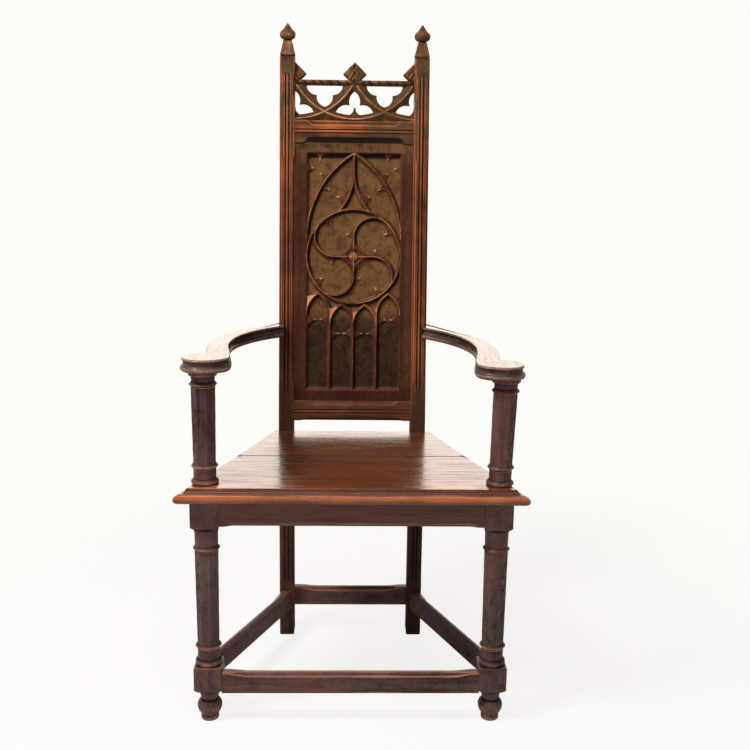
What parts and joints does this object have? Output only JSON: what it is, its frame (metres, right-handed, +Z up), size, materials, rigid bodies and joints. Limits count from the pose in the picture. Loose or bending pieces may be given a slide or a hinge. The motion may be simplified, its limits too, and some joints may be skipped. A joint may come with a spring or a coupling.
{
  "type": "armchair",
  "caption": "Joined dark oak armchair with a raked back panel carved in Gothic tracery, a pierced cresting, a tapered plank seat and sweeping arms on octagonal supports.",
  "frame": {"origin": "on the floor, under the middle of the chair's bounding box", "axes": "+Z up, -Y towards the front of the chair, +X towards the right of the picture"},
  "size_m": [0.626, 0.529, 1.287],
  "materials": {
    "frame_oak": "dark waxed oak, worn on the arrises",
    "seat_oak": "dark waxed oak, polished by use",
    "carved_oak": "dark waxed oak, carved, dull in the hollows",
    "inner_oak": "plain unwaxed oak out of sight"
  },
  "bodies": {
    "root": {"left_rear_post": "frame_oak", "right_rear_post": "frame_oak", "left_finial": "frame_oak", "right_finial": "frame_oak", "left_front_leg": "frame_oak", "right_front_leg": "frame_oak", "left_arm_support": "frame_oak", "right_arm_support": "frame_oak", "left_arm": "seat_oak", "right_arm": "seat_oak", "left_seat_rail": "frame_oak", "right_seat_rail": "frame_oak", "left_stretcher": "frame_oak", "right_stretcher": "frame_oak", "front_seat_rail": "frame_oak", "rear_seat_rail": "frame_oak", "front_stretcher": "frame_oak", "rear_stretcher": "frame_oak", "seat_front_board": "seat_oak", "seat_rear_board": "seat_oak", "seat_dowels": "inner_oak", "arm_dowels": "inner_oak", "seat_glue_blocks": "inner_oak", "lower_back_rail": "frame_oak", "upper_back_rail": "frame_oak", "back_panel": "carved_oak", "cresting": "carved_oak"}
  },
  "joints": []
}
